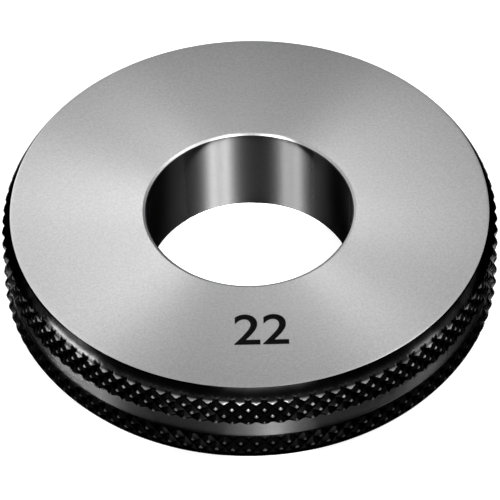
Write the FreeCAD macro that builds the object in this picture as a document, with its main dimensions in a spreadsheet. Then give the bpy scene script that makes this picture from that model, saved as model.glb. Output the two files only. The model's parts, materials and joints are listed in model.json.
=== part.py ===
"""A plain ring gauge of the no-go kind: one ring of hardened steel with a ground and lapped bore.

The rim is diamond knurled over its whole width, with a turned groove round the middle of it and
rounded edges. Millimetres, +Z up along the bore, origin at the centre of the bottom face.
"""

import FreeCAD, Part
import Sketcher

import os

# Driving dimensions: name, size, what it measures.
SIZES = (
    ("outer_diameter", 53.0, "over the knurl's crests"),
    ("bore_diameter", 22.0, "the size that the gauge checks"),
    ("height", 10.8, "from face to face"),
    ("lead_width", 0.4, "of the bore's lead-in, across the face"),
    ("lead_depth", 0.25, "of the bore's lead-in, down the bore"),
    ("edge_width", 0.96, "of the rounded outer edge, across the face"),
    ("edge_height", 2.0, "of the rounded outer edge, down the rim"),
    ("edge_bulge", 0.1, "by which that edge stands out from a straight bevel"),
    ("groove_bottom", 3.76, "height of the rim groove's lower wall"),
    ("groove_width", 2.3, "of the rim groove, from wall to wall"),
    ("groove_depth", 0.66, "of the rim groove, below the crests"),
    ("knurl_pitch", 1.7, "round the rim, from one crest to the next"),
    ("knurl_angle", 39.2, "degrees between the knurl's cuts and the ring's axis"),
    ("knurl_depth", 0.35, "of the knurl's cuts, below the crests"),
    ("knurl_land", 0.3, "flat crest left between two cuts, measured round the rim"),
    ("knurl_row", 0.914, "height of the lowest row of crests"),
    ("knurl_turn", -1.2, "degrees from +X to the first crest of that row"),
)

# What follows from them, as expressions that any feature can use.
OUTER = "(sizes.outer_diameter / 2)"
BORE = "(sizes.bore_diameter / 2)"
TEETH = "round(pi * sizes.outer_diameter / sizes.knurl_pitch)"
GROOVE_TOP = "(sizes.groove_bottom + sizes.groove_width)"
GROOVE_MIDDLE = "(sizes.groove_bottom + sizes.groove_width / 2)"
EDGE_CHORD = "sqrt(sizes.edge_width ^ 2 + sizes.edge_height ^ 2)"

# Straight steps that stand for the curve of a rounded edge.
EDGE_STEPS = 2
# How far a cutter stands out beyond the rim.
CLEAR = 0.1

ORIGIN = (-1, 1)
FLAT_AXIS = -1
UPRIGHT_AXIS = -2

doc = FreeCAD.newDocument("ring_gauge")


def make_sheet():
    sheet = doc.addObject("Spreadsheet::Sheet", "sizes")
    for row, (name, size, meaning) in enumerate(SIZES, start=1):
        sheet.set(f"A{row}", str(size))
        sheet.setAlias(f"A{row}", name)
        sheet.set(f"B{row}", meaning)
    doc.recompute()


def bind(item, bindings):
    for path, expression in bindings.items():
        item.setExpression(path, expression)


def turned_a_little():
    """A placement that already has the ring's axis, so that its angle can be bound."""
    return FreeCAD.Placement(FreeCAD.Vector(), FreeCAD.Rotation(FreeCAD.Vector(0, 0, 1), 1))


def edge_levels():
    """Inner radius and height of each step of the rim's outline, from the bottom face up."""
    lower = []
    for step in range(EDGE_STEPS + 1):
        share = step / EDGE_STEPS
        bulge = f"{4 * share * (1 - share)} * sizes.edge_bulge / {EDGE_CHORD}"
        radius = f"({OUTER} - sizes.edge_width * {1 - share} + {bulge} * sizes.edge_height)"
        level = f"(sizes.edge_height * {share} - {bulge} * sizes.edge_width)"
        lower.append((radius, level))
    upper = [(radius, f"(sizes.height - {level})") for radius, level in reversed(lower)]
    return lower + upper


def make_blank():
    """The ring's outer form. Its rim has one flat to a pitch, with corners that miss every crest."""
    outlines = []
    for radius, level in edge_levels():
        outline = doc.addObject("Part::RegularPolygon", "rim_outline")
        outline.Placement = turned_a_little()
        bind(outline, {
            "Polygon": TEETH,
            "Circumradius": f"{radius} / cos(180 / {TEETH})",
            "Placement.Base.z": level,
            "Placement.Rotation.Angle": f"90 / {TEETH} + sizes.knurl_turn",
        })
        outlines.append(outline)
    blank = doc.addObject("Part::Loft", "blank")
    blank.Sections = outlines
    blank.Solid = True
    blank.Ruled = True
    blank.Linearize = True
    doc.recompute()
    return blank


def origin_of(body, role):
    return next(item for item in body.Origin.OriginFeatures if item.Role == role)


def sketch_on(body, role, name, corners):
    """A closed outline of straight lines on a plane of the body, with each corner bound to the sheet."""
    sketch = body.newObject("Sketcher::SketchObject", name)
    sketch.AttachmentSupport = [(origin_of(body, role), "")]
    sketch.MapMode = "FlatFace"
    places = [
        FreeCAD.Vector(sketch.evalExpression(x), sketch.evalExpression(y), 0) for x, y in corners
    ]
    lines = range(len(corners))
    for i in lines:
        sketch.addGeometry(Part.LineSegment(places[i], places[(i + 1) % len(corners)]))
    for i in lines:
        following = (i + 1) % len(corners)
        sketch.addConstraint(Sketcher.Constraint("Coincident", i, 2, following, 1))
    for i, (x, y) in enumerate(corners):
        hold_corner(sketch, i, "DistanceX", UPRIGHT_AXIS, x, places[i].x)
        hold_corner(sketch, i, "DistanceY", FLAT_AXIS, y, places[i].y)
    return sketch


def hold_corner(sketch, line, kind, axis, size, value):
    if size == "0":
        sketch.addConstraint(Sketcher.Constraint("PointOnObject", line, 1, axis))
        return
    number = sketch.addConstraint(Sketcher.Constraint(kind, *ORIGIN, line, 1, value))
    sketch.renameConstraint(number, f"{kind}_{line}")
    sketch.setExpression(f"Constraints.{kind}_{line}", size)


def finish_cut(body, feature, steel_before):
    """Recompute, and stop if the feature took no steel away."""
    feature.Refine = False
    body.Tip = feature
    doc.recompute()
    if feature.Shape.Volume >= steel_before:
        raise RuntimeError(f"{feature.Label} cut nothing")


def turn_away(body, name, corners):
    """A cut turned round the ring's axis. Its outline is given as radius and height."""
    steel_before = body.Tip.Shape.Volume
    sketch = sketch_on(body, "XZ_Plane", f"{name}_outline", corners)
    cut = body.newObject("PartDesign::Groove", name)
    cut.Profile = sketch
    cut.ReferenceAxis = (sketch, ["V_Axis"])
    cut.Angle = 360
    finish_cut(body, cut, steel_before)


def knurl_cut(body, name, low, high, lean):
    """One straight V cut from the height low to the height high, leaning across the rim.

    It lies flat to the rim halfway up, and is turned about the axis so that it meets the cuts that
    lean the other way at the rows of crests.
    """
    steel_before = body.Tip.Shape.Volume
    middle = f"({low} + {high}) / 2"
    run = f"{lean} * ({middle} - sizes.knurl_row) * tan(sizes.knurl_angle)"
    turned = f"({run} / {OUTER} * 180 / pi + 180 / {TEETH} + sizes.knurl_turn)"
    floor = f"{OUTER} - sizes.knurl_depth"
    half_mouth = "(sizes.knurl_pitch - sizes.knurl_land) / 2"
    flare = f"(1 + {CLEAR} / sizes.knurl_depth)"
    corners = (
        (floor, "0"),
        (f"{OUTER} + {CLEAR}", f"-{half_mouth} * {flare}"),
        (f"{OUTER} + {CLEAR}", f"{half_mouth} * {flare}"),
    )
    sketch = sketch_on(body, "XY_Plane", f"{name}_vee", corners)
    sketch.AttachmentOffset = turned_a_little()
    bind(sketch, {
        "AttachmentOffset.Base.z": middle,
        "AttachmentOffset.Rotation.Angle": turned,
    })
    cut = body.newObject("PartDesign::Pocket", name)
    cut.Profile = sketch
    cut.Type = "Length"
    cut.SideType = "Symmetric"
    cut.AlongSketchNormal = True
    cut.UseCustomVector = True
    across = f"{lean} * sin(sizes.knurl_angle)"
    bind(cut, {
        "Length": f"{high} - {low}",
        "Direction": f"create(<<vector>>; -{across} * sin({turned}); {across} * cos({turned});"
                     " cos(sizes.knurl_angle))",
    })
    finish_cut(body, cut, steel_before)
    return cut


def knurl_rim(body):
    """Two crossing sets of V cuts above the rim groove, and two below it, in line with each other."""
    for side, lean in (("right", 1), ("left", -1)):
        cuts = [
            knurl_cut(body, f"lower_{side}", "0", GROOVE_MIDDLE, lean),
            knurl_cut(body, f"upper_{side}", GROOVE_MIDDLE, "sizes.height", lean),
        ]
        steel_before = body.Tip.Shape.Volume
        around = body.newObject("PartDesign::PolarPattern", f"knurl_{side}")
        around.Originals = cuts
        around.Axis = (origin_of(body, "Z_Axis"), [""])
        around.Angle = 360
        around.setExpression("Occurrences", TEETH)
        finish_cut(body, around, steel_before)


def make_ring():
    body = doc.addObject("PartDesign::Body", "gauge_ring")
    body.BaseFeature = make_blank()
    doc.recompute()
    turn_away(body, "bore", (
        ("0", "0"),
        (f"{BORE} + sizes.lead_width", "0"),
        (BORE, "sizes.lead_depth"),
        (BORE, "sizes.height - sizes.lead_depth"),
        (f"{BORE} + sizes.lead_width", "sizes.height"),
        ("0", "sizes.height"),
    ))
    turn_away(body, "rim_groove", (
        (f"{OUTER} - sizes.groove_depth", "sizes.groove_bottom"),
        (f"{OUTER} + {CLEAR}", "sizes.groove_bottom"),
        (f"{OUTER} + {CLEAR}", GROOVE_TOP),
        (f"{OUTER} - sizes.groove_depth", GROOVE_TOP),
    ))
    knurl_rim(body)
    return body


def write_parts(bodies):
    for item in doc.Objects:
        if "Invalid" in item.State or "Error" in item.State:
            raise RuntimeError(f"{item.Label} failed: {item.State}")
    os.makedirs("parts", exist_ok=True)
    for body in bodies:
        if body.Shape.isNull() or not body.Shape.isValid() or len(body.Shape.Solids) != 1:
            raise RuntimeError(f"{body.Label} is not one valid solid")
        body.Shape.exportStep(f"parts/{body.Label}.step")
        print(body.Label, round(body.Shape.Volume, 2), "cubic mm,", len(body.Shape.Faces), "faces")


make_sheet()
write_parts([make_ring()])
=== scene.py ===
import json
import math

import bpy
import numpy as np
from mathutils import Matrix, Vector


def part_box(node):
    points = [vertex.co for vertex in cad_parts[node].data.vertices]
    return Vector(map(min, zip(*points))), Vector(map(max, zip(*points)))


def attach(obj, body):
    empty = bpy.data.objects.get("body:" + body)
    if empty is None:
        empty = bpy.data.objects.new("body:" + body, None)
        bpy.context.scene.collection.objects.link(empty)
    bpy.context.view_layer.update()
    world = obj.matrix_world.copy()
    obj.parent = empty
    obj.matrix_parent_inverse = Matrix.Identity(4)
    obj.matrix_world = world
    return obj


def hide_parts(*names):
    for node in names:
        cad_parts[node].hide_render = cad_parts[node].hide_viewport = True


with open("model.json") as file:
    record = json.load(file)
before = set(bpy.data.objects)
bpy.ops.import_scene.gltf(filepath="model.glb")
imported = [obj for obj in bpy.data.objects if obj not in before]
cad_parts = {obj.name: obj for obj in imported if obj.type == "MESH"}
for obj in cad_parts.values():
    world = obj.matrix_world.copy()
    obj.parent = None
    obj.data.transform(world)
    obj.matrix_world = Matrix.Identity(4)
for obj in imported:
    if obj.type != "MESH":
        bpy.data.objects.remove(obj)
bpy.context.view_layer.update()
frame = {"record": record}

# The ring's blank: hardened steel turned to its outline, with ground faces, a lapped bore with a
# small lead-in at each mouth, rounded outer edges, and a groove turned round the rim.
# Sizes are in metres. The outer size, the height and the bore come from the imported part.
MM = 0.001
high_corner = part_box("gauge_ring")[1]
outer_radius = high_corner.x
height = high_corner.z
bore = next(mount for mount in frame["record"]["mounts"] if mount["name"] == "bore")
bore_radius = bore["dims"]["r_mm"] * MM
lead_width = 0.4 * MM
lead_depth = 0.25 * MM
edge_width = 0.96 * MM
edge_height = 2.0 * MM
edge_bulge = 0.1 * MM
corner_break = 0.045 * MM
groove_bottom = 3.76 * MM
groove_top = groove_bottom + 2.3 * MM
groove_radius = outer_radius - 0.66 * MM
groove_fillet = 0.14 * MM
groove_lip = 0.03 * MM
# Share of the lead-in, from the bore out, that the lap has polished.
lap_reach = 0.35
# Where the rings of faces lie, as shares of a ground face's width.
face_shares = (0, 0.02, 0.5, 0.98)
# Degrees round the small rounding between a face and the outer edge.
corner_turns = (0, 20, 40)
# Heights of the outline's places on the outer edge, up to the one where the knurl's rows begin.
edge_levels = (0.09 * MM, 0.16 * MM, 0.35 * MM, 0.55 * MM)
knurl_start = 0.65 * MM
fillet_turns = (30, 60, 90)

GROUND, HONED, LAPPED, BLACKED, TURNED = range(5)


def edge_radius(level):
    """Radius of the rounded outer edge at a height above the nearer face: an arc of a large circle."""
    chord = math.hypot(edge_width, edge_height)
    arc_radius = (chord ** 2 / 4 + edge_bulge ** 2) / (2 * edge_bulge)
    inward = (arc_radius - edge_bulge) / chord
    centre_radius = outer_radius - edge_width / 2 - inward * edge_height
    centre_level = edge_height / 2 + inward * edge_width
    if level >= edge_height:
        return outer_radius
    return centre_radius + math.sqrt(arc_radius ** 2 - (level - centre_level) ** 2)


# The diamond knurl, rolled into the rim before the edges and the groove are turned: two crossing
# sets of leaning valleys. The crests between them are blunt and rubbed bright, partly as painted
# sheen, the valleys sharp.
knurl_teeth = 98
knurl_lean = math.radians(39.2)
knurl_depth = 0.35 * MM
knurl_land = 0.3 * MM
knurl_row = 0.914 * MM
knurl_turn = math.radians(-1.2)
crest_blunting = 0.1 * MM
crest_joining = 0.02 * MM
knurl_pitch = 2 * math.pi * outer_radius / knurl_teeth
row_step = knurl_pitch / 2 / math.tan(knurl_lean)
columns = 12
rows_per_step = columns // 2
# How far down from a crest the black is rubbed off, and how much of the crests is bared at each
# distance from the nearer face, and from the upper face. This is partly wear and partly painted sheen
# and shade: the rounded edge by the face is kept black and the crests below it are bared, so that the
# rim reflects the white floor only where it shows bright; rows further below the upper face are bared
# less.
bare_depth = 0.055 * MM
edge_distances, edge_wear_and_sheen = (1.4 * MM, 1.6 * MM, 2.2 * MM), (0.03, 0.42, 1)
below_top_distances, below_top_wear_and_sheen = (2.4 * MM, 4.2 * MM), (1, 0.2)


def valley_depth(places):
    """Depth below the crests beside one set of valleys, from the distance round the rim in pitches."""
    from_valley = np.abs(places - np.floor(places) - 0.5) * knurl_pitch
    slope = (knurl_pitch - knurl_land) / 2
    inside = slope - from_valley
    return knurl_depth * (np.hypot(inside, crest_blunting) + inside) / 2 / slope


def knurl_cut(angles, level):
    """Depth of both sets of valleys at a height, for each angle round the rim."""
    along = angles / (2 * math.pi) * knurl_teeth
    lean = (level - knurl_row) * math.tan(knurl_lean) / knurl_pitch
    right, left = valley_depth(along - lean), valley_depth(along + lean)
    both = (right + left + np.hypot(right - left, crest_joining)) / 2
    crest = valley_depth(np.zeros(1))[0] + crest_joining / 2
    return np.maximum(both - crest, 0)


def rubbing(level):
    """How much of the crests at a height is bared: most just below the upper rounded edge. Partly wear,
    partly painted sheen and shade laid out by height.
    """
    from_edge = np.interp(min(level, height - level), edge_distances, edge_wear_and_sheen)
    below_top = np.interp(height - level, below_top_distances, below_top_wear_and_sheen)
    return from_edge * below_top


def stations():
    """The ring's outline from the bore's lower mouth out, up and back: radius, height, knurled, finish.

    The finish is that of the strip between a station and the next.
    """
    inner = bore_radius + lead_width
    face_radius = outer_radius - edge_width
    half = [(bore_radius, lead_depth, False, LAPPED),
            (bore_radius + lap_reach * lead_width, (1 - lap_reach) * lead_depth, False, HONED)]
    for share in face_shares:
        half.append((inner + share * (face_radius - corner_break - inner), 0, False, GROUND))
    for turn in corner_turns:
        angle = math.radians(turn)
        finish = BLACKED if turn == corner_turns[-1] else GROUND
        half.append((face_radius - corner_break * (1 - math.sin(angle)),
                     corner_break * (1 - math.cos(angle)), False, finish))
    for level in edge_levels:
        half.append((edge_radius(level), level, True, BLACKED))
    step = row_step / rows_per_step
    first_row = math.ceil((knurl_start - knurl_row) / step)
    levels = np.arange(first_row, math.ceil(height / step)) * step + knurl_row
    below = [z for z in levels if z < groove_bottom - 2 * groove_lip]
    above = [z for z in levels if groove_top + 2 * groove_lip < z < height - knurl_start]
    outline = list(half)
    outline += [(edge_radius(z), z, True, BLACKED) for z in below]
    outline.append((outer_radius, groove_bottom - groove_lip, True, BLACKED))
    outline.append((outer_radius - groove_lip, groove_bottom, True, BLACKED))
    floor = [(groove_radius + groove_fillet, groove_bottom, False, TURNED)]
    for turn in fillet_turns:
        angle = math.radians(turn)
        floor.append((groove_radius + groove_fillet * (1 - math.sin(angle)),
                      groove_bottom + groove_fillet * (1 - math.cos(angle)), False, TURNED))
    middle = (groove_bottom + groove_top) / 2
    outline += floor
    outline.append((groove_radius, middle, False, TURNED))
    mirrored = [(r, 2 * middle - z, knurled, finish) for r, z, knurled, finish in reversed(floor)]
    mirrored[-1] = mirrored[-1][:3] + (BLACKED,)
    outline += mirrored
    outline.append((outer_radius - groove_lip, groove_top, True, BLACKED))
    outline.append((outer_radius, groove_top + groove_lip, True, BLACKED))
    outline += [(edge_radius(height - z), z, True, BLACKED) for z in above]
    upper = [(r, height - z, knurled) for r, z, knurled, finish in reversed(half)]
    finishes = [finish for r, z, knurled, finish in reversed(half)][1:] + [LAPPED]
    outline += [place + (finish,) for place, finish in zip(upper, finishes)]
    outline.append((bore_radius, height / 2, False, LAPPED))
    return outline


def sector_mesh(name):
    """One tooth's share of the ring, to be repeated round the axis.

    Each knurled cell is split along the valleys' lean, so that the valleys are straight.
    """
    outline = stations()
    angles = np.arange(columns + 1) / columns * 2 * math.pi / knurl_teeth + knurl_turn
    points, bareness_and_sheen = [], []
    for radius, level, knurled, finish in outline:
        cut = knurl_cut(angles - knurl_turn, level) if knurled else np.zeros(columns + 1)
        reach = np.minimum(radius, outer_radius - cut)
        points += [(r * math.cos(a), r * math.sin(a), level) for r, a in zip(reach, angles)]
        near_crest = np.clip(1 - (radius - reach) / bare_depth, 0, 1)
        # Painted sheen and shade over wear: the crests' bare steel is spread by height, so that the rim
        # reflects the floor only where it shows bright.
        bareness_and_sheen += list(rubbing(level) * near_crest ** 2)
    faces, finishes = [], []
    width = columns + 1
    for k, (radius, level, knurled, finish) in enumerate(outline):
        following = (k + 1) % len(outline)
        for i in range(columns):
            a, b = k * width + i, k * width + i + 1
            c, d = following * width + i + 1, following * width + i
            if knurled and outline[following][2]:
                side = ((angles[i] + angles[i + 1]) / 2 - knurl_turn) / math.pi * knurl_teeth
                middle = ((level + outline[following][1]) / 2 - knurl_row) / row_step
                rising = (math.floor(side) + math.floor(middle)) % 2 == 1
                faces += [(a, b, c), (a, c, d)] if rising else [(a, b, d), (b, c, d)]
                finishes += [finish, finish]
            else:
                faces.append((a, b, c, d))
                finishes.append(finish)
    mesh = bpy.data.meshes.new(name)
    mesh.from_pydata(points, [], faces)
    bare_and_sheen = mesh.attributes.new("bare_and_sheen", "FLOAT", "POINT")
    bare_and_sheen.data.foreach_set("value", bareness_and_sheen)
    zone = mesh.attributes.new("finish", "INT", "FACE")
    zone.data.foreach_set("value", finishes)
    return mesh


# The ring's finishes: fine-ground faces with a circular lay and painted light and shade, lighter at
# the bore and darker at the rim; honed lead-ins; a lapped bore whose near-black colour is painted dark
# reflection; a blacked rim whose crests are rubbed bright, partly as painted sheen and shade laid out
# by height; and dull turned steel in the groove whose near-black colour is painted dark reflection.
# The grain's scales are per metre: fine for the gloss, coarse for the grey, patches for the rubbing.
fine_grain = 9000.0
coarse_grain = 4000.0
patch_grain = 600.0
patch_least = 0.3
grey_variation = 0.09
gloss_variation = 0.1
circular_lay = 0.25
black_oxide = 0.002


def new_material(name):
    """A material with its nodes, its links and its shader."""
    material = bpy.data.materials.new(name)
    material.use_nodes = True
    nodes = material.node_tree.nodes
    return material, nodes, material.node_tree.links, nodes["Principled BSDF"]


def grain_group():
    """Fine grain of a worked metal surface: values about 0.5 at a coarse and a fine scale."""
    group = bpy.data.node_groups.new("metal_grain", "ShaderNodeTree")
    for name, default in (("Fine scale", fine_grain), ("Coarse scale", coarse_grain)):
        scale = group.interface.new_socket(name, in_out="INPUT", socket_type="NodeSocketFloat")
        scale.default_value = default
    for name in ("Fine", "Coarse"):
        group.interface.new_socket(name, in_out="OUTPUT", socket_type="NodeSocketFloat")
    nodes, links = group.nodes, group.links
    start, end = nodes.new("NodeGroupInput"), nodes.new("NodeGroupOutput")
    place = nodes.new("ShaderNodeTexCoord")
    for name in ("Fine", "Coarse"):
        noise = nodes.new("ShaderNodeTexNoise")
        noise.inputs["Detail"].default_value = 3
        links.new(place.outputs["Object"], noise.inputs["Vector"])
        links.new(start.outputs[f"{name} scale"], noise.inputs["Scale"])
        links.new(noise.outputs["Fac"], end.inputs[name])
    return group


grain = grain_group()


def add_grain(nodes):
    """The grain, placed in a material."""
    node = nodes.new("ShaderNodeGroup")
    node.node_tree = grain
    return node


def spread(nodes, links, value, low, high):
    """The grain's value, which keeps to the middle of 0 to 1, spread between two others."""
    node = nodes.new("ShaderNodeMapRange")
    node.inputs["From Min"].default_value = 0.3
    node.inputs["From Max"].default_value = 0.7
    node.inputs["To Min"].default_value = low
    node.inputs["To Max"].default_value = high
    links.new(value, node.inputs["Value"])
    return node.outputs["Result"]


def grey_range(nodes, links, value, low, high):
    """A grey that runs between two levels with the grain."""
    level = spread(nodes, links, value, low, high)
    node = nodes.new("ShaderNodeCombineColor")
    for channel in ("Red", "Green", "Blue"):
        links.new(level, node.inputs[channel])
    return node.outputs["Color"]


def worked_steel(name, grey, roughness, anisotropy):
    """Steel that was turned, ground or lapped round the ring's axis, and reflects across that lay."""
    material, nodes, links, shader = new_material(name)
    metal = add_grain(nodes)
    darker, lighter = grey * (1 - grey_variation), grey * (1 + grey_variation)
    links.new(grey_range(nodes, links, metal.outputs["Coarse"], darker, lighter),
              shader.inputs["Base Color"])
    glossier, duller = roughness * (1 - gloss_variation), roughness * (1 + gloss_variation)
    links.new(spread(nodes, links, metal.outputs["Fine"], glossier, duller),
              shader.inputs["Roughness"])
    shader.inputs["Metallic"].default_value = 1.0
    shader.inputs["Specular Tint"].default_value = (0, 0, 0, 1)
    shader.inputs["Anisotropic"].default_value = anisotropy
    shader.inputs["Anisotropic Rotation"].default_value = circular_lay
    tangent = nodes.new("ShaderNodeTangent")
    tangent.direction_type = "RADIAL"
    tangent.axis = "Z"
    links.new(tangent.outputs["Tangent"], shader.inputs["Tangent"])
    return material


def blacked_steel():
    """Black oxide over the rim, rubbed off in patches on the crests, where bare steel shows. Where it
    is bared is partly wear and partly painted sheen and shade, laid out by height.
    """
    material = worked_steel("blacked_rim", grey=0.6, roughness=0.18, anisotropy=0.6)
    nodes, links = material.node_tree.nodes, material.node_tree.links
    shader = nodes["Principled BSDF"]
    steel = shader.inputs["Base Color"].links[0].from_socket
    bare_and_sheen = nodes.new("ShaderNodeAttribute")
    bare_and_sheen.attribute_name = "bare_and_sheen"
    colour = nodes.new("ShaderNodeMix")
    colour.data_type = "RGBA"
    colour.inputs[6].default_value = (black_oxide, black_oxide, black_oxide, 1)
    patches = add_grain(nodes)
    patches.inputs["Coarse scale"].default_value = patch_grain
    rubbed_and_sheen = nodes.new("ShaderNodeMath")
    rubbed_and_sheen.operation = "MULTIPLY"
    links.new(bare_and_sheen.outputs["Fac"], rubbed_and_sheen.inputs[0])
    links.new(spread(nodes, links, patches.outputs["Coarse"], patch_least, 1.0), rubbed_and_sheen.inputs[1])
    links.new(rubbed_and_sheen.outputs["Value"], colour.inputs[0])
    links.new(steel, colour.inputs[7])
    links.new(colour.outputs[2], shader.inputs["Base Color"])
    return material


def shade_outward(material, inner, outer):
    """Paint light and shade on a face: scale its colour from one level at the bore to another at the
    rim, standing in for light that falls off outward.
    """
    nodes, links = material.node_tree.nodes, material.node_tree.links
    shader = nodes["Principled BSDF"]
    grey = shader.inputs["Base Color"].links[0].from_socket
    place = nodes.new("ShaderNodeTexCoord")
    flat = nodes.new("ShaderNodeVectorMath")
    flat.operation = "MULTIPLY"
    flat.inputs[1].default_value = (1, 1, 0)
    links.new(place.outputs["Object"], flat.inputs[0])
    radius = nodes.new("ShaderNodeVectorMath")
    radius.operation = "LENGTH"
    links.new(flat.outputs["Vector"], radius.inputs[0])
    fall = nodes.new("ShaderNodeMapRange")
    fall.inputs["From Min"].default_value = bore_radius
    fall.inputs["From Max"].default_value = outer_radius
    fall.inputs["To Min"].default_value = inner
    fall.inputs["To Max"].default_value = outer
    links.new(radius.outputs["Value"], fall.inputs["Value"])
    shaded = nodes.new("ShaderNodeVectorMath")
    shaded.operation = "SCALE"
    links.new(grey, shaded.inputs[0])
    links.new(fall.outputs["Result"], shaded.inputs["Scale"])
    links.new(shaded.outputs["Vector"], shader.inputs["Base Color"])


ground_face = worked_steel("ground_face", grey=0.45, roughness=0.36, anisotropy=0.8)
# Painted light and shade: the ground face's colour is lighter near the bore and darker out at the rim.
shade_outward(ground_face, inner=1.07, outer=0.74)
honed_lead = worked_steel("honed_lead", grey=0.45, roughness=0.5, anisotropy=0.3)
# Painted dark reflection: the lapped bore's steel gets a near-black colour, so that it stays dark where
# it reflects the white floor.
lapped_bore_painted_dark = worked_steel("lapped_bore_painted_dark", grey=0.02, roughness=0.46, anisotropy=1.0)
blacked_rim = blacked_steel()
# Painted dark reflection: the turned steel in the groove gets a near-black colour, so that it stays
# dark where it reflects the white floor.
turned_groove_painted_dark = worked_steel("turned_groove_painted_dark", grey=0.045, roughness=0.5, anisotropy=1.0)
finish_materials = (ground_face, honed_lead, lapped_bore_painted_dark, blacked_rim, turned_groove_painted_dark)


def repeat_tree():
    """Geometry nodes that set one tooth's sector round the axis, join them and give each its finish."""
    tree = bpy.data.node_groups.new("teeth_round_the_ring", "GeometryNodeTree")
    tree.interface.new_socket("Geometry", in_out="INPUT", socket_type="NodeSocketGeometry")
    tree.interface.new_socket("Teeth", in_out="INPUT", socket_type="NodeSocketInt")
    tree.interface.new_socket("Seam", in_out="INPUT", socket_type="NodeSocketFloat")
    tree.interface.new_socket("Geometry", in_out="OUTPUT", socket_type="NodeSocketGeometry")
    nodes, links = tree.nodes, tree.links
    start, end = nodes.new("NodeGroupInput"), nodes.new("NodeGroupOutput")
    points = nodes.new("GeometryNodePoints")
    links.new(start.outputs["Teeth"], points.inputs["Count"])
    index = nodes.new("GeometryNodeInputIndex")
    share = nodes.new("ShaderNodeMath")
    share.operation = "DIVIDE"
    links.new(index.outputs["Index"], share.inputs[0])
    links.new(start.outputs["Teeth"], share.inputs[1])
    turn = nodes.new("ShaderNodeMath")
    turn.operation = "MULTIPLY"
    turn.inputs[1].default_value = 2 * math.pi
    links.new(share.outputs["Value"], turn.inputs[0])
    rotation = nodes.new("ShaderNodeCombineXYZ")
    links.new(turn.outputs["Value"], rotation.inputs["Z"])
    placed = nodes.new("GeometryNodeInstanceOnPoints")
    links.new(points.outputs["Points"], placed.inputs["Points"])
    links.new(start.outputs["Geometry"], placed.inputs["Instance"])
    links.new(rotation.outputs["Vector"], placed.inputs["Rotation"])
    real = nodes.new("GeometryNodeRealizeInstances")
    links.new(placed.outputs["Instances"], real.inputs["Geometry"])
    joined = nodes.new("GeometryNodeMergeByDistance")
    links.new(real.outputs["Geometry"], joined.inputs["Geometry"])
    links.new(start.outputs["Seam"], joined.inputs["Distance"])
    made = joined.outputs["Geometry"]
    zone = nodes.new("GeometryNodeInputNamedAttribute")
    zone.data_type = "INT"
    zone.inputs["Name"].default_value = "finish"
    for finish, material in enumerate(finish_materials):
        chosen = nodes.new("FunctionNodeCompare")
        chosen.data_type = "INT"
        chosen.operation = "EQUAL"
        links.new(zone.outputs["Attribute"], chosen.inputs[2])
        chosen.inputs[3].default_value = finish
        coated = nodes.new("GeometryNodeSetMaterial")
        coated.inputs["Material"].default_value = material
        links.new(made, coated.inputs["Geometry"])
        links.new(chosen.outputs["Result"], coated.inputs["Selection"])
        made = coated.outputs["Geometry"]
    links.new(made, end.inputs["Geometry"])
    return tree


def set_input(modifier, name, value):
    """Give a value to an input of a modifier's tree, by the input's name."""
    sockets = modifier.node_group.interface.items_tree
    inputs = {item.name: item.identifier for item in sockets if item.in_out == "INPUT"}
    modifier[inputs[name]] = value


def plain_mesh(piece):
    """The piece's mesh with its modifiers worked in and removed."""
    bpy.context.view_layer.update()
    evaluated = piece.evaluated_get(bpy.context.evaluated_depsgraph_get())
    made = bpy.data.meshes.new_from_object(evaluated)
    piece.modifiers.clear()
    piece.data = made


seam_width = 0.001 * MM

ring = bpy.data.objects.new("knurled_ring", sector_mesh("knurled_ring"))
bpy.context.scene.collection.objects.link(ring)
teeth = ring.modifiers.new("teeth", "NODES")
teeth.node_group = repeat_tree()
set_input(teeth, "Teeth", knurl_teeth)
set_input(teeth, "Seam", seam_width)
plain_mesh(ring)

# The nominal size of the bore in millimetres, engraved in the upper face near the mouth in plain
# figures, and filled with black enamel.
number_height = 4.2 * MM
number_place = Vector((1.0 * MM, -17.7 * MM, height))
number_depth = 0.08 * MM
stroke_gain = 0.07 * MM
# A figure's height as a share of the typeface's size.
figure_share = 0.7
# Corners sharper than this stay crisp, and gentler ones are shaded as curves.
crisp_angle = math.radians(28)
enamel_black = 0.003
enamel_worn = 0.006

enamel, enamel_nodes, enamel_links, enamel_shader = new_material("number_enamel")
enamel_grain = add_grain(enamel_nodes)
enamel_grey = grey_range(
    enamel_nodes, enamel_links, enamel_grain.outputs["Coarse"], enamel_black, enamel_worn)
enamel_links.new(enamel_grey, enamel_shader.inputs["Base Color"])
enamel_shader.inputs["Roughness"].default_value = 0.8
enamel_shader.inputs["Specular IOR Level"].default_value = 0.0


def number_cutter():
    """The number as a solid, standing through the face at the place where it is engraved."""
    words = bpy.data.curves.new("number", "FONT")
    words.body = str(round(2 * bore_radius / MM))
    words.align_x = "CENTER"
    words.align_y = "CENTER"
    words.size = number_height / figure_share
    words.extrude = number_depth
    words.offset = stroke_gain
    letters = bpy.data.objects.new("number", words)
    bpy.context.scene.collection.objects.link(letters)
    bpy.context.view_layer.update()
    evaluated = letters.evaluated_get(bpy.context.evaluated_depsgraph_get())
    solid = bpy.data.meshes.new_from_object(evaluated)
    bpy.data.objects.remove(letters)
    solid.transform(Matrix.Translation(number_place))
    solid.materials.clear()
    solid.materials.append(enamel)
    cutter = bpy.data.objects.new("number_cutter", solid)
    bpy.context.scene.collection.objects.link(cutter)
    return cutter


cutter = number_cutter()
engraving = ring.modifiers.new("engraving", "BOOLEAN")
engraving.object = cutter
engraving.solver = "EXACT"
engraving.material_mode = "TRANSFER"
plain_mesh(ring)
bpy.data.objects.remove(cutter)
ring.data.shade_smooth()
ring.data.set_sharp_from_angle(angle=crisp_angle)
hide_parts("gauge_ring")
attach(ring, "root")

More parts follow.
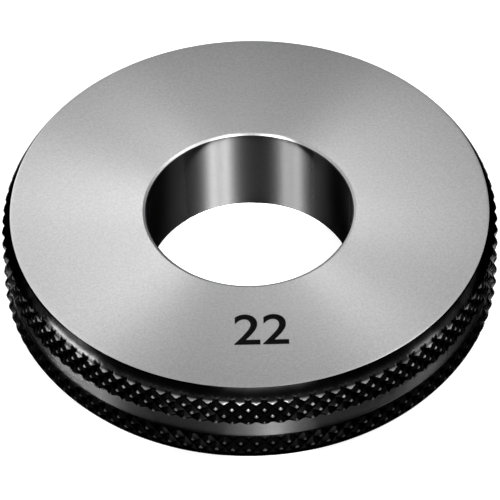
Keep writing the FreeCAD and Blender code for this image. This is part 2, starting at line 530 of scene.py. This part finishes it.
# The floor: a plain pale sheet that the ring lies on. It is matt grey to the lamps, and glows white
# to the camera and in the ring's reflections.
floor_half = 2.0
floor_grey = 0.5
floor_glow = 0.85
floor_mesh = bpy.data.meshes.new("floor")
floor_mesh.from_pydata(
    [(-floor_half, -floor_half, 0), (floor_half, -floor_half, 0),
     (floor_half, floor_half, 0), (-floor_half, floor_half, 0)], [], [(0, 1, 2, 3)])
floor = bpy.data.objects.new("floor", floor_mesh)
bpy.context.scene.collection.objects.link(floor)
paper, paper_nodes, paper_links, paper_shader = new_material("pale_floor")
paper_shader.inputs["Base Color"].default_value = (floor_grey, floor_grey, floor_grey, 1)
paper_shader.inputs["Roughness"].default_value = 0.9
paper_shader.inputs["Specular IOR Level"].default_value = 0.1
path = paper_nodes.new("ShaderNodeLightPath")
seen = path.outputs["Is Camera Ray"]
for ray in ("Is Glossy Ray", "Is Transmission Ray"):
    either = paper_nodes.new("ShaderNodeMath")
    paper_links.new(seen, either.inputs[0])
    paper_links.new(path.outputs[ray], either.inputs[1])
    seen = either.outputs["Value"]
glow = paper_nodes.new("ShaderNodeMath")
glow.operation = "MULTIPLY"
glow.inputs[1].default_value = floor_glow
paper_links.new(seen, glow.inputs[0])
paper_links.new(glow.outputs["Value"], paper_shader.inputs["Emission Strength"])
paper_shader.inputs["Emission Color"].default_value = (1, 1, 1, 1)
floor_mesh.materials.append(paper)

# The studio's lights. The lamps are soft, and all but one stand well back. The strips stand on the
# floor round the ring, lower than its face, and light the rim alone. The spots are narrow: four
# shine through the mouth on to the back of the bore, and two on to the groove.

# Name, azimuth, elevation, distance, size and power:
lamps = (
    ("right_lamp", -2, 55, 0.6, 0.2, 1.6),
    ("back_left_lamp", 119, 33, 0.6, 0.2, 0.85),
    ("back_left_high_lamp", 115, 55, 0.6, 0.2, 0.66),
    ("back_right_lamp", 66, 55, 0.6, 0.2, 0.33),
    ("top_lamp", 0, 88, 0.6, 0.22, 0.65),
    ("front_lamp", -84, 35, 0.6, 0.35, 1.3),
    ("left_low_lamp", -165, 12, 0.6, 0.1, 0.2),
    ("left_near_lamp", -176, 48, 0.12, 0.03, 0.022),
    ("right_high_lamp", 30, 70, 0.6, 0.15, 0.3),
)
# Name, azimuth, distance, width, height and power:
strips = (
    ("front_strip", -90, 0.045, 0.014, 0.003, 0.0018),
    ("left_strip", -160, 0.11, 0.045, 0.004, 0.1),
    ("right_strip", -26, 0.085, 0.02, 0.004, 0.01),
)
spot_distance = 0.6
spot_spread = math.radians(0.95)
spot_softness = 0.2
spot_radius = 0.0003
bore_aim = 0.44 * height
groove_aim = 0.3 * height
# Name, azimuth, elevation and power, and the radius, azimuth and height of the place aimed at:
spots = (
    ("bore_left_spot", -141, 32, 82.0, bore_radius, 64.5, bore_aim),
    ("bore_mid_left_spot", -128, 32, 72.0, bore_radius, 71, bore_aim),
    ("bore_mid_right_spot", -67, 32, 118.0, bore_radius, 101.5, bore_aim),
    ("bore_right_spot", -53, 32, 122.0, bore_radius, 108.5, bore_aim),
    ("groove_front_spot", -82, 33, 25.0, outer_radius, -86, groove_aim),
    ("groove_left_spot", -158, 33, 12.0, outer_radius, -126, groove_aim),
)


def away_from_ring(azimuth, elevation):
    """The direction outwards at an azimuth from +X and an elevation, in degrees."""
    turn, rise = math.radians(azimuth), math.radians(elevation)
    flat = math.cos(rise)
    return Vector((math.cos(turn) * flat, math.sin(turn) * flat, math.sin(rise)))


def add_light(name, kind, power, place, aim):
    """A light that stands at a place and shines at another, unseen by the camera."""
    light = bpy.data.lights.new(name, kind)
    light.energy = power
    lamp = bpy.data.objects.new(name, light)
    bpy.context.scene.collection.objects.link(lamp)
    lamp.visible_camera = False
    lamp.location = place
    lamp.rotation_mode = "QUATERNION"
    lamp.rotation_quaternion = (place - aim).to_track_quat("Z", "Y")
    return light


for name, azimuth, elevation, distance, size, power in lamps:
    place = away_from_ring(azimuth, elevation) * distance
    light = add_light(name, "AREA", power, place, Vector((0, 0, 0)))
    light.shape = "SQUARE"
    light.size = size

for name, azimuth, distance, width, tall, power in strips:
    aim = Vector((0, 0, tall / 2))
    light = add_light(name, "AREA", power, aim + away_from_ring(azimuth, 0) * distance, aim)
    light.shape = "RECTANGLE"
    light.size = width
    light.size_y = tall

for name, azimuth, elevation, power, radius, lit, level in spots:
    aim = away_from_ring(lit, 0) * radius + Vector((0, 0, level))
    place = aim + away_from_ring(azimuth, elevation) * spot_distance
    light = add_light(name, "SPOT", power, place, aim)
    light.spot_size = spot_spread
    light.spot_blend = spot_softness
    light.shadow_soft_size = spot_radius

world_grey = 0.6
world_strength = 0.05
world = bpy.data.worlds.new("studio")
world.use_nodes = True
background = world.node_tree.nodes["Background"]
background.inputs["Color"].default_value = (world_grey, world_grey, world_grey, 1)
background.inputs["Strength"].default_value = world_strength
bpy.context.scene.world = world
bpy.context.scene.view_settings.view_transform = "Standard"

# The camera stands where the photograph was taken from: well back, looking down from the front,
# with a long lens and a slight roll. It looks at a point just in front of the ring's middle.
view_elevation = math.radians(46.62)
view_roll = math.radians(1.17)
view_distance = 579.5 * MM
view_lens = 389.0
centre_right = 0.013 * MM
centre_low = 0.682 * MM

ahead = Vector((0, math.cos(view_elevation), -math.sin(view_elevation)))
upward = Vector((0, math.sin(view_elevation), math.cos(view_elevation)))
right = Vector((1, 0, 0))
camera_right = math.cos(view_roll) * right - math.sin(view_roll) * upward
camera_up = math.sin(view_roll) * right + math.cos(view_roll) * upward
ring_middle = Vector((0, 0, height / 2))
stand = ring_middle - view_distance * ahead
target = ring_middle - centre_right * camera_right - centre_low * camera_up
camera_back = (stand - target).normalized()
camera_right = camera_up.cross(camera_back).normalized()
camera_up = camera_back.cross(camera_right)
camera_data = bpy.data.cameras.new("camera")
camera_data.sensor_width = 36
camera_data.lens = view_lens
camera_data.clip_start = 0.01
camera_data.clip_end = 20
camera = bpy.data.objects.new("camera", camera_data)
bpy.context.scene.collection.objects.link(camera)
camera_turn = Matrix((camera_right, camera_up, camera_back)).transposed().to_4x4()
camera.matrix_world = Matrix.Translation(stand) @ camera_turn
bpy.context.scene.camera = camera
